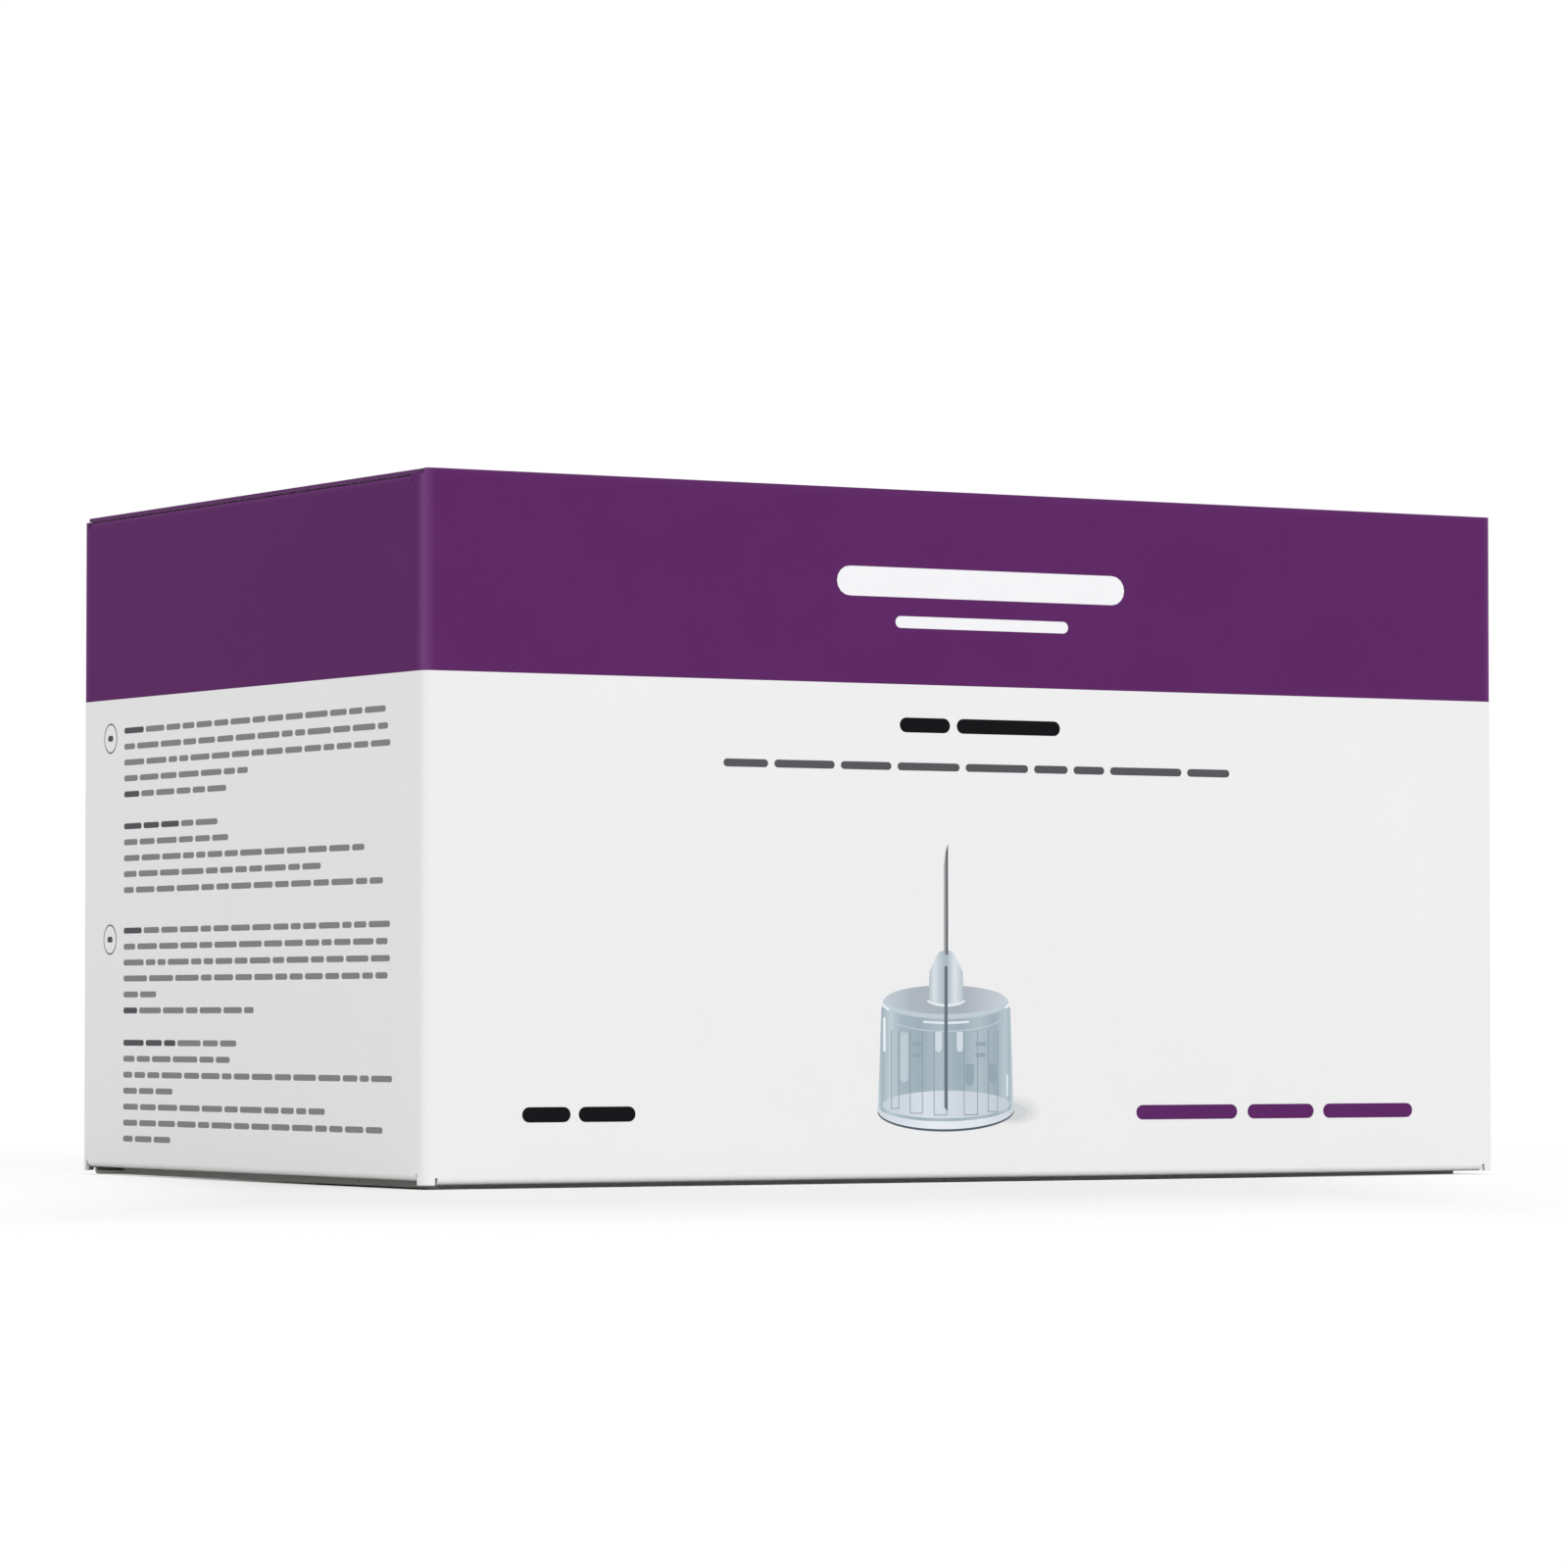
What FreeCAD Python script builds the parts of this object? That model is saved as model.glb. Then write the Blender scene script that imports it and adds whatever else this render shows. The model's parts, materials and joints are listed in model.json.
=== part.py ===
import FreeCAD, Part
import math
import os

# A folding carton of one hundred capped pen needles, closed by a tuck lid.
#
# The carton is one blank of folding boxboard: four walls joined by a glue flap, a glued bottom of four
# overlapping flaps, and two dust flaps folded in under the lid. The lid and its tuck flap, the last
# panels of the blank, swing on the back wall's top fold. Inside stand two layers of pen needles. Each
# is sealed in a moulded shield by a peel tab, flange up and flange down in turn, so that the tapered
# shields nest.
#
# Millimetres. X runs along the front, Y from front to back, and Z up from the surface it stands on.

# Capped pen needle
shield_sides = 8
shield_length = 32.9
flange_across = 14.8
flange_thickness = 1.5
root_across = 12.4
tip_across = 9.8
tip_chamfer = 1.2
tab_thickness = 0.15
tab_tongue = 3.5
tab_tongue_narrowing = 0.8

# Load
columns = 10
rows = 5
layers = 2
shield_gap = 0.18
tongue_room = 0.1
layer_gap = 0.05
side_clearance = 0.3
front_clearance = 0.5
back_clearance = 0.2
floor_clearance = 0.05
headspace = 1.2

# Board and folds
board = 0.4
corner_radius = 1.0
fold_radius = 0.7
corner_post = 1.3
fold_relief = 0.3

# Manufacturer's joint at the back right corner
glue_flap_width = 14.0
glue_flap_relief = 0.6
seam_setback = 0.3

# Dust flaps under the lid
dust_flap_length = 35.0
dust_flap_front_relief = 2.5
dust_flap_shoulder = 11.0
dust_flap_front_taper = 3.0
dust_flap_back_taper = 7.0
dust_flap_corner = 6.0
dust_flap_gap = 0.1

# Lid and tuck flap
lid_side_inset = 0.5
hinge_clearance = 0.08
tuck_flap_length = 14.0
tuck_flap_gap = 0.25
tuck_flap_shoulder = 1.0
tuck_flap_corner = 9.0
slit_length = 7.0

# Glued bottom
outer_flap_setback = 3.0
inner_flap_setback = 4.0
bottom_flap_taper = 1.6
bottom_flap_taper_length = 3.0
bottom_dust_flap_length = 34.0
bottom_dust_flap_chamfer = 6.0

# Load's size
column_pitch = (flange_across + tip_across) / 2 + shield_gap
row_pitch = flange_across + shield_gap
layer_height = shield_length + 2 * tab_thickness + tongue_room
load_width = (columns - 1) * column_pitch + flange_across
load_depth = (rows - 1) * row_pitch + flange_across
load_height = layers * layer_height + (layers - 1) * layer_gap

# The tuck flap leans in by length squared over twice the reach, so that its tip swings on the same
# circle about the hinge as its fold. The reach, from the hinge to the fold, includes that lean.
behind_tuck_flap = load_depth + front_clearance + back_clearance + 2.5 * board
reach = (behind_tuck_flap + math.sqrt(behind_tuck_flap**2 + 2 * tuck_flap_length**2)) / 2
tuck_flap_lean = math.asin(tuck_flap_length / (2 * reach))

# Carton's size
outer_bottom_level = 0.0
inner_bottom_level = outer_bottom_level + board
bottom_dust_level = inner_bottom_level + board
floor_level = bottom_dust_level + board
load_level = floor_level + floor_clearance
dust_flap_level = load_level + load_height + headspace + board
carton_width = load_width + 2 * (side_clearance + board)
carton_depth = reach + tuck_flap_gap + 1.5 * board
carton_height = dust_flap_level + dust_flap_gap + board
half_width = carton_width / 2
half_depth = carton_depth / 2
inside_half_depth = half_depth - board

# Places that follow
hinge_y = half_depth - board / 2
hinge_z = carton_height - board / 2
tuck_fold_y = hinge_y - reach
lid_half_width = half_width - lid_side_inset
tuck_flap_half_width = lid_half_width - tuck_flap_shoulder
crease_half_width = half_width - corner_radius
flap_front = -inside_half_depth + dust_flap_front_relief
flap_back = half_depth - corner_post - fold_relief
load_front = tuck_fold_y + tuck_flap_length * math.sin(tuck_flap_lean) + board + front_clearance


def unit(a, b):
    """The direction from plane point a to plane point b."""
    length = math.hypot(b[0] - a[0], b[1] - a[1])
    return ((b[0] - a[0]) / length, (b[1] - a[1]) / length)


def arc_at(before, corner, after, radius, inset=0.0):
    """Start, middle and end of the arc that rounds a left turn, set in towards the arc's centre."""
    a = unit(before, corner)
    b = unit(corner, after)
    tangent = radius * math.tan(math.acos(a[0] * b[0] + a[1] * b[1]) / 2)
    start = (corner[0] - a[0] * tangent, corner[1] - a[1] * tangent)
    end = (corner[0] + b[0] * tangent, corner[1] + b[1] * tangent)
    centre = (start[0] - a[1] * radius, start[1] + a[0] * radius)
    out = unit(centre, corner)
    middle = (centre[0] + out[0] * radius, centre[1] + out[1] * radius)
    kept = 1 - inset / radius
    return [
        (centre[0] + (p[0] - centre[0]) * kept, centre[1] + (p[1] - centre[1]) * kept)
        for p in (start, middle, end)
    ]


def face_inside(stretches, place):
    """A face whose edge joins the stretches: a sharp corner is one plane point, an arc is three."""
    edges = []
    for stretch, following in zip(stretches, stretches[1:] + stretches[:1]):
        points = [place(*p) for p in stretch]
        if len(points) == 3:
            edges.append(Part.Arc(*points).toShape())
        edges.append(Part.LineSegment(points[-1], place(*following[0])).toShape())
    return Part.Face(Part.Wire(edges))


def set_left(a, b, end):
    """The point one board to the left of end, for a surface that runs from a to b."""
    along = unit(a, b)
    return (end[0] - along[1] * board, end[1] + along[0] * board)


def bent_board(points, radius, place, direction):
    """Board folded along its outer surface's points, lying to their left, and extruded."""
    folds = list(zip(points, points[1:], points[2:]))
    outer = [arc_at(*fold, radius) for fold in folds]
    inner = [arc_at(*fold, radius, board)[::-1] for fold in folds[::-1]]
    start = set_left(points[0], points[1], points[0])
    end = set_left(points[-2], points[-1], points[-1])
    edge = [[points[0]]] + outer + [[points[-1]], [end]] + inner + [[start]]
    return face_inside(edge, place).extrude(direction)


def plate(corners, place, direction):
    """A plate whose edge turns at each corner (x, y, radius), sharp where the radius is 0."""
    edge = []
    for i, (x, y, radius) in enumerate(corners):
        before = corners[i - 1][:2]
        after = corners[(i + 1) % len(corners)][:2]
        edge.append(arc_at(before, (x, y), after, radius) if radius else [(x, y)])
    return face_inside(edge, place).extrude(direction)


def box(x, y, z):
    """A box between two X, two Y and two Z values."""
    return Part.makeBox(x[1] - x[0], y[1] - y[0], z[1] - z[0], FreeCAD.Vector(x[0], y[0], z[0]))


def side_range(side, inner, outer):
    """An X range on the left side (-1) or the right side (1)."""
    return sorted((side * inner, side * outer))


def fused(shapes):
    return shapes[0].fuse(shapes[1:]).removeSplitter()


def walls():
    """The four walls, wrapped round from the seam, and the glue flap behind the back wall's end."""
    up = FreeCAD.Vector(0, 0, carton_height)

    def plan(x, y):
        return FreeCAD.Vector(x, y, 0)

    back_left_front_right = [
        (half_width - seam_setback, half_depth),
        (-half_width, half_depth),
        (-half_width, -half_depth),
        (half_width, -half_depth),
        (half_width, 0),
    ]
    right_and_glue_flap = [
        (half_width, 0),
        (half_width, inside_half_depth),
        (half_width - glue_flap_width, inside_half_depth),
    ]
    wrapped = bent_board(back_left_front_right, corner_radius, plan, up)
    glued = bent_board(right_and_glue_flap, corner_radius, plan, up)
    return fused([wrapped, glued])


def top_cuts():
    """What the die cuts off the walls round the lid's fold and the dust flaps' folds."""
    back = box((-half_width, half_width), (0, half_depth), (hinge_z, carton_height))
    cuts = [back]
    for side in (-1, 1):
        end = side_range(side, crease_half_width, half_width)
        cuts.append(box(end, (-inside_half_depth, half_depth), (dust_flap_level, carton_height)))
        window = (flap_front - fold_relief, flap_back + fold_relief)
        cuts.append(box(end, window, (dust_flap_level - fold_radius, carton_height)))
    return cuts


def bottom_cuts():
    """What the die cuts off the walls round the bottom flaps' folds."""
    along = (-half_depth + corner_post, half_depth - corner_post)
    across = (-half_width + corner_post, half_width - corner_post)
    back = (inside_half_depth, half_depth)
    front = (-half_depth, -inside_half_depth)
    cuts = [
        box(across, back, (0, outer_bottom_level + fold_radius)),
        box(across, front, (0, inner_bottom_level + fold_radius)),
    ]
    for side in (-1, 1):
        end = side_range(side, half_width - board, half_width)
        cuts.append(box(end, along, (0, bottom_dust_level + fold_radius)))
        post = side_range(side, half_width - corner_post, half_width)
        cuts.append(box(post, (along[1], half_depth), (0, inner_bottom_level)))
        cuts.append(box(post, (-half_depth, along[0]), (0, inner_bottom_level)))
    return cuts


def glue_flap_cuts():
    """What shortens the glue flap, so that it ends clear of the bottom flaps and the lid's fold."""
    x = (half_width - glue_flap_width, half_width - board)
    y = (inside_half_depth - board - fold_radius, inside_half_depth)
    below = box(x, y, (0, floor_level + glue_flap_relief))
    above = box(x, y, (hinge_z - glue_flap_relief, carton_height))
    return [below, above]


def crease():
    """The round top of the back wall, along which the lid folds."""
    start = FreeCAD.Vector(-crease_half_width, hinge_y, hinge_z)
    return Part.makeCylinder(board / 2, 2 * crease_half_width, start, FreeCAD.Vector(1, 0, 0))


def dust_flap(side):
    """A side wall's top flap, folded in under the lid, with a shoulder behind the tuck flap."""
    end = half_width - dust_flap_length
    fold = half_width - fold_radius
    shoulder = half_width - dust_flap_shoulder

    def section(x, z):
        return FreeCAD.Vector(side * x, flap_front, z)

    def plan(x, y):
        return FreeCAD.Vector(side * x, y, 0)

    wall_to_end = [
        (half_width, dust_flap_level - fold_radius - board),
        (half_width, dust_flap_level),
        (end, dust_flap_level),
    ]
    outline = [
        (half_width, flap_front, 0),
        (half_width, flap_back, 0),
        (fold, flap_back, 0),
        (end, flap_back - dust_flap_back_taper, dust_flap_corner),
        (end, flap_front + dust_flap_front_taper, dust_flap_corner),
        (shoulder, flap_front, 0),
    ]
    folded = bent_board(wall_to_end, fold_radius, section, FreeCAD.Vector(0, flap_back - flap_front, 0))
    return folded.common(plate(outline, plan, FreeCAD.Vector(0, 0, carton_height)))


def bottom_dust_flap(side):
    """A side wall's bottom flap, the innermost layer of the bottom, with chamfered corners."""
    end = half_width - bottom_dust_flap_length
    chamfered = end + bottom_dust_flap_chamfer
    edge = half_depth - corner_post - fold_relief

    def section(x, z):
        return FreeCAD.Vector(side * x, -edge, z)

    def plan(x, y):
        return FreeCAD.Vector(side * x, y, 0)

    end_to_wall = [
        (end, bottom_dust_level),
        (half_width, bottom_dust_level),
        (half_width, bottom_dust_level + fold_radius + board),
    ]
    outline = [
        (end, -edge + bottom_dust_flap_chamfer, 0),
        (chamfered, -edge, 0),
        (half_width, -edge, 0),
        (half_width, edge, 0),
        (chamfered, edge, 0),
        (end, edge - bottom_dust_flap_chamfer, 0),
    ]
    folded = bent_board(end_to_wall, fold_radius, section, FreeCAD.Vector(0, 2 * edge, 0))
    return folded.common(plate(outline, plan, FreeCAD.Vector(0, 0, carton_height)))


def bottom_panel(side, level, setback):
    """A bottom flap folded in from the front wall (-1) or the back wall (1), tapered next to its fold."""
    edge = half_width - corner_post - fold_relief
    tapered_edge = edge - bottom_flap_taper
    end = -half_depth + setback
    fold = half_depth - fold_radius

    def section(y, z):
        return FreeCAD.Vector(-edge, side * y, z)

    def plan(x, y):
        return FreeCAD.Vector(x, side * y, 0)

    end_to_wall = [
        (end, level),
        (half_depth, level),
        (half_depth, level + fold_radius + board),
    ]
    outline = [
        (-tapered_edge, end, 0),
        (tapered_edge, end, 0),
        (tapered_edge, fold - bottom_flap_taper_length, 0),
        (edge, fold, 0),
        (edge, half_depth, 0),
        (-edge, half_depth, 0),
        (-edge, fold, 0),
        (-tapered_edge, fold - bottom_flap_taper_length, 0),
    ]
    folded = bent_board(end_to_wall, fold_radius, section, FreeCAD.Vector(2 * edge, 0, 0))
    return folded.common(plate(outline, plan, FreeCAD.Vector(0, 0, carton_height)))


def carton():
    """The blank without its lid, folded up and glued."""
    sheet = walls()
    for cut in top_cuts() + bottom_cuts() + glue_flap_cuts():
        sheet = sheet.cut(cut)
    flaps = [crease()]
    for side in (-1, 1):
        flaps += [dust_flap(side), bottom_dust_flap(side)]
    flaps.append(bottom_panel(-1, inner_bottom_level, inner_flap_setback))
    flaps.append(bottom_panel(1, outer_bottom_level, outer_flap_setback))
    return fused([sheet] + flaps)


def tuck_flap_outline():
    """The lid seen from the front: the panel's full width, and below it the narrower round flap."""
    fold_z = carton_height - fold_radius
    tip_z = carton_height - tuck_flap_length * math.cos(tuck_flap_lean)
    corners = [
        (-lid_half_width, fold_z, 0),
        (-tuck_flap_half_width, fold_z, 0),
        (-tuck_flap_half_width, tip_z, tuck_flap_corner),
        (tuck_flap_half_width, tip_z, tuck_flap_corner),
        (tuck_flap_half_width, fold_z, 0),
        (lid_half_width, fold_z, 0),
        (lid_half_width, carton_height, 0),
        (-lid_half_width, carton_height, 0),
    ]

    def front(x, z):
        return FreeCAD.Vector(x, -half_depth, z)

    return plate(corners, front, FreeCAD.Vector(0, carton_depth, 0))


def lid():
    """The lid panel and its tuck flap, with a slit at each end of the fold between them."""
    tip = (
        tuck_fold_y + tuck_flap_length * math.sin(tuck_flap_lean),
        carton_height - tuck_flap_length * math.cos(tuck_flap_lean),
    )
    hinge_to_tip = [
        (hinge_y - board / 2 - hinge_clearance, carton_height),
        (tuck_fold_y, carton_height),
        tip,
    ]

    def section(y, z):
        return FreeCAD.Vector(-lid_half_width, y, z)

    width = FreeCAD.Vector(2 * lid_half_width, 0, 0)
    panel = bent_board(hinge_to_tip, fold_radius, section, width).common(tuck_flap_outline())
    edges = []
    for side in (-1, 1):
        end = side_range(side, tuck_flap_half_width - slit_length, lid_half_width)
        fold = (tuck_fold_y, tuck_fold_y + 2 * fold_radius)
        panel = panel.cut(box(end, fold, (carton_height - fold_radius, carton_height)))
        edges.append(box(end, fold, (carton_height - board, carton_height)))
    return fused([panel] + edges)


def ring(across, z):
    """The corners of an outline with flats towards the neighbours, at height z."""
    radius = across / 2 / math.cos(math.pi / shield_sides)
    turns = [math.tau * (i + 0.5) / shield_sides for i in range(shield_sides)]
    return [FreeCAD.Vector(radius * math.cos(a), radius * math.sin(a), z) for a in turns]


def flat_face(points):
    return Part.Face(Part.makePolygon(points + points[:1]))


def shield():
    """A capped needle's moulded shield, closed by its tab, standing on its flange."""
    rings = [
        ring(flange_across, 0),
        ring(flange_across, flange_thickness),
        ring(root_across, flange_thickness),
        ring(tip_across, shield_length - tip_chamfer),
        ring(tip_across - 2 * tip_chamfer, shield_length),
    ]
    faces = [flat_face(rings[0]), flat_face(rings[-1])]
    for low, high in zip(rings, rings[1:]):
        faces += [flat_face([low[i - 1], low[i], high[i], high[i - 1]]) for i in range(shield_sides)]
    return Part.Solid(Part.Shell(faces))


def peel_tab():
    """The tab sealed over a flange, with a tongue towards -X to pull it off by."""
    points = ring(flange_across, -tab_thickness)
    for corner in sorted(points, key=lambda p: p.x)[:2]:
        corner.x -= tab_tongue
        corner.y -= math.copysign(tab_tongue_narrowing, corner.y)
    return flat_face(points).extrude(FreeCAD.Vector(0, 0, tab_thickness))


def stood(shape, column, row, layer):
    """A copy of one capped needle's shape at its place in the load."""
    upright = FreeCAD.Vector(0, 0, 1)
    centre = FreeCAD.Vector(0, 0, 0)
    copy = shape.copy()
    height = tab_thickness
    if (column + layer) % 2:
        copy.rotate(centre, FreeCAD.Vector(1, 0, 0), 180)
        height = layer_height - tab_thickness
    if column == 0:
        copy.rotate(centre, upright, 180)
    x = -load_width / 2 + flange_across / 2 + column * column_pitch
    y = load_front + flange_across / 2 + row * row_pitch
    z = load_level + layer * (layer_height + layer_gap) + height
    copy.translate(FreeCAD.Vector(x, y, z))
    return copy


def save(name, shape):
    shape.exportStep(os.path.join("parts", name + ".step"))


def main():
    os.makedirs("parts", exist_ok=True)
    save("carton", carton())
    save("lid", lid())
    one_shield = shield()
    one_tab = peel_tab()
    for layer in range(layers):
        for row in range(rows):
            place = "layer_%d_row_%d" % (layer + 1, row + 1)
            places = [(column, row, layer) for column in range(columns)]
            save("shields_" + place, Part.makeCompound([stood(one_shield, *p) for p in places]))
            save("peel_tabs_" + place, Part.makeCompound([stood(one_tab, *p) for p in places]))


main()
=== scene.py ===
import bmesh
import bpy
import json
import math
import random
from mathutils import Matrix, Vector


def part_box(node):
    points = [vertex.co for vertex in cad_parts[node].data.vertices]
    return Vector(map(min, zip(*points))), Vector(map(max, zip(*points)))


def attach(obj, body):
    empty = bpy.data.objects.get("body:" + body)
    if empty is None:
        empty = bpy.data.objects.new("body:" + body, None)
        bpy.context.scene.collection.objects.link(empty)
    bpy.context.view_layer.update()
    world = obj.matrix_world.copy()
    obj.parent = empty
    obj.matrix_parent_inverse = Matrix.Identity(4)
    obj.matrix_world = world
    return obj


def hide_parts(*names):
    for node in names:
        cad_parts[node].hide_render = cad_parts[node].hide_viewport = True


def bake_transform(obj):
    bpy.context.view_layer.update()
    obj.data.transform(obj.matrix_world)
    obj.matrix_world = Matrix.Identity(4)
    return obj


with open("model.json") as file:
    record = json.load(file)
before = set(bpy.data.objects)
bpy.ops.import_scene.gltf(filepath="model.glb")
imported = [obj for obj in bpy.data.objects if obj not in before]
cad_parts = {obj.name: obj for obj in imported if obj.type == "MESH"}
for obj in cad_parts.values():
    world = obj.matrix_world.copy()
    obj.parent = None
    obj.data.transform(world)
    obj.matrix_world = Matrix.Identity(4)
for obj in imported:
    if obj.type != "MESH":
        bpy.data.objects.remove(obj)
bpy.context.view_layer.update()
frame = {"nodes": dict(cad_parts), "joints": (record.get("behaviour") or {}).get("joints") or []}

MM = 0.001

# Sizes of the folded carton, from the frame
carton_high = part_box("carton")[1]
half_width = carton_high.x
half_depth = carton_high.y
height = carton_high.z
hinge = Vector(frame["joints"][0]["pos_m"])
board = 2 * (height - hinge.z)
corner_radius = 1.0 * MM
fold_radius = 0.7 * MM
smallest_panel = 100 * MM**2

# Printing
band_bottom = 50.3 * MM
bleed = 3.0 * MM
tuck_flap_print = 6.0 * MM
ink_depth = 0.05 * MM
ink_height = 0.008 * MM
layer_step = 0.0015 * MM
ink_roughness = 0.4
print_roughness = 0.42
varnish_gloss = 0.01
varnish_relief = 0.12

# Rub and painted highlight on the folds, by distance in from the carton's outer faces
wear_highlight_start = 1.6 * corner_radius
wear_highlight_full = 0.3 * corner_radius
wear_highlight_lean = 0.2 * corner_radius
wear_highlight_falloff = 1.6
level_wear_highlight_full = 0.2 * fold_radius
level_wear_highlight = 0.12

# Notes and marks on the left side, in millimetres
note_left = -28.8
note_pitch = 1.68
note_tall = 0.62
note_word = 4.2
note_space = 0.8
mark_middle = -32.2
mark_heights = (46.2, 24.9)
mark_radius = 1.6
mark_line = 0.15
mark_word = 1.3

# Picture of the needle on the front, in millimetres
picture_middle = -4.6
picture_foot = 5.0
picture_half = 8.1

# Lid's crease
crease_half = half_width - corner_radius
crease_end = 0.1 * MM
crease_facing = 0.85
crease_reach = 1.4 * MM
crease_radius = 0.04 * MM
crease_bulge = 0.02 * MM
crease_steps = 7
crease_turns = 6

# Load
columns = 10
rows = 5
layers = 2
first_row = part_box("shields_layer_1_row_1")
last_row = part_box("shields_layer_1_row_5")
upper_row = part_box("shields_layer_2_row_1")
first_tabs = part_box("peel_tabs_layer_1_row_1")
flange_across = first_row[1].y - first_row[0].y
column_pitch = (first_row[1].x - first_row[0].x - flange_across) / (columns - 1)
row_pitch = (last_row[0].y - first_row[0].y) / (rows - 1)
layer_pitch = upper_row[0].z - first_row[0].z
flip_height = first_row[1].z - first_row[0].z
tab_thickness = first_row[0].z - first_tabs[0].z
shield_ribs = 10
rib_height = 0.34 * MM
rib_crest = math.radians(4.5)
rib_foot = math.radians(7.5)

# Peel tab
tab_inset = 0.05 * MM
tab_tongue = 3.5 * MM
tab_tongue_half = 2.3 * MM
tab_tongue_ink = 0.4 * MM
tab_shoulder = math.radians(128)
tab_loose_turn = math.radians(2)
tab_disc = 5.2 * MM
tab_press_inside = 6.0 * MM
tab_press_outside = 7.1 * MM
tab_press_slope = 0.1 * MM

# Colours, as sRGB from 0 to 255
purple = (94, 42, 100)
# Paler purple of the painted highlight and rub along the folds
purple_worn_highlight = (134, 84, 141)
coated_white = (237, 237, 237)
inside_white = (228, 224, 215)
edge_white = (232, 229, 221)
# Purple of the cut edges beside the ink: the ink's colour, also painted shade in place of the board's
# pale edge
edge_purple_shade = (97, 50, 103)
ink_black = (24, 23, 26)
ink_grey = (88, 88, 92)
note_grey = (136, 136, 139)
ink_white = (243, 243, 245)
shield_white = (236, 239, 241)
shield_blue = (228, 233, 238)
tab_white = (240, 239, 235)
tab_fibre = (226, 223, 214)
tab_purple = (128, 84, 140)

# Light and floor
sky_level = 0.83
key_strength = 0.72
key_direction = (0.0, -0.74, 0.67)
floor_size = 6.0
floor_grey = 0.9
floor_under_shadow = 0.02
shade_start = 35 * MM
shade_end = 165 * MM
shade_side = 45 * MM
shade_side_end = 78 * MM
shade_behind = half_depth + 5 * MM
shade_behind_end = half_depth + 35 * MM
side_plain = 0.75

# Camera, fitted to the carton's edges in the photo
camera_place = Vector((-365.0, -613.4, 16.48)) * MM
camera_yaw = math.radians(30.73)
camera_pitch = math.radians(2.014)
photo_pixels = 1600
focal_pixels = 6825
sensor = 36.0


def linear(colour):
    """An sRGB colour from 0 to 255 as Blender's linear colour."""
    parts = [c / 255 for c in colour]
    return [c / 12.92 if c <= 0.04045 else ((c + 0.055) / 1.055) ** 2.4 for c in parts] + [1.0]


class Nodes:
    """A node tree with short calls to add nodes and link them."""

    def __init__(self, tree):
        self.tree = tree

    def add(self, kind, **settings):
        node = self.tree.nodes.new(kind)
        for key, value in settings.items():
            setattr(node, key, value)
        return node

    def link(self, source, target):
        self.tree.links.new(source, target)

    def feed(self, node, values):
        """Gives input sockets, by name or number, a value or another node's output."""
        for key, value in values.items():
            if isinstance(value, bpy.types.NodeSocket):
                self.link(value, node.inputs[key])
            else:
                node.inputs[key].default_value = value
        return node

    def math(self, operation, *values):
        node = self.add("ShaderNodeMath", operation=operation)
        self.feed(node, dict(enumerate(values)))
        return node.outputs[0]

    def ramp(self, value, low, high, course="LINEAR"):
        """0 below low and 1 above high."""
        node = self.add("ShaderNodeMapRange", interpolation_type=course)
        self.feed(node, {"Value": value, "From Min": low, "From Max": high})
        return node.outputs["Result"]

    def smooth(self, value, low, high):
        return self.ramp(value, low, high, "SMOOTHSTEP")

    def noise(self, place, scale, detail=2.0, roughness=0.5):
        node = self.add("ShaderNodeTexNoise")
        self.feed(node, {"Vector": place, "Scale": scale, "Detail": detail, "Roughness": roughness})
        return node.outputs["Fac"]

    def mix(self, factor, a, b):
        node = self.add("ShaderNodeMix", data_type="RGBA")
        self.feed(node, {0: factor, 6: a, 7: b})
        return node.outputs[2]

    def stretched(self, place, scale):
        node = self.add("ShaderNodeMapping")
        self.feed(node, {"Vector": place, "Scale": scale})
        return node.outputs["Vector"]

    def grey(self, value):
        """A colour with the same value in all three channels."""
        node = self.add("ShaderNodeCombineColor")
        self.feed(node, {0: value, 1: value, 2: value})
        return node.outputs[0]

    def place(self):
        return self.add("ShaderNodeTexCoord").outputs["Object"]


def new_group(name, inputs, outputs):
    """A shader group with named sockets: (name, kind, default) going in and (name, kind) coming out."""
    tree = bpy.data.node_groups.new(name, "ShaderNodeTree")
    for socket, kind, default in inputs:
        made = tree.interface.new_socket(socket, in_out="INPUT", socket_type="NodeSocket" + kind)
        made.default_value = default
    for socket, kind in outputs:
        tree.interface.new_socket(socket, in_out="OUTPUT", socket_type="NodeSocket" + kind)
    n = Nodes(tree)
    return n, n.add("NodeGroupInput").outputs, n.add("NodeGroupOutput")


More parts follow.
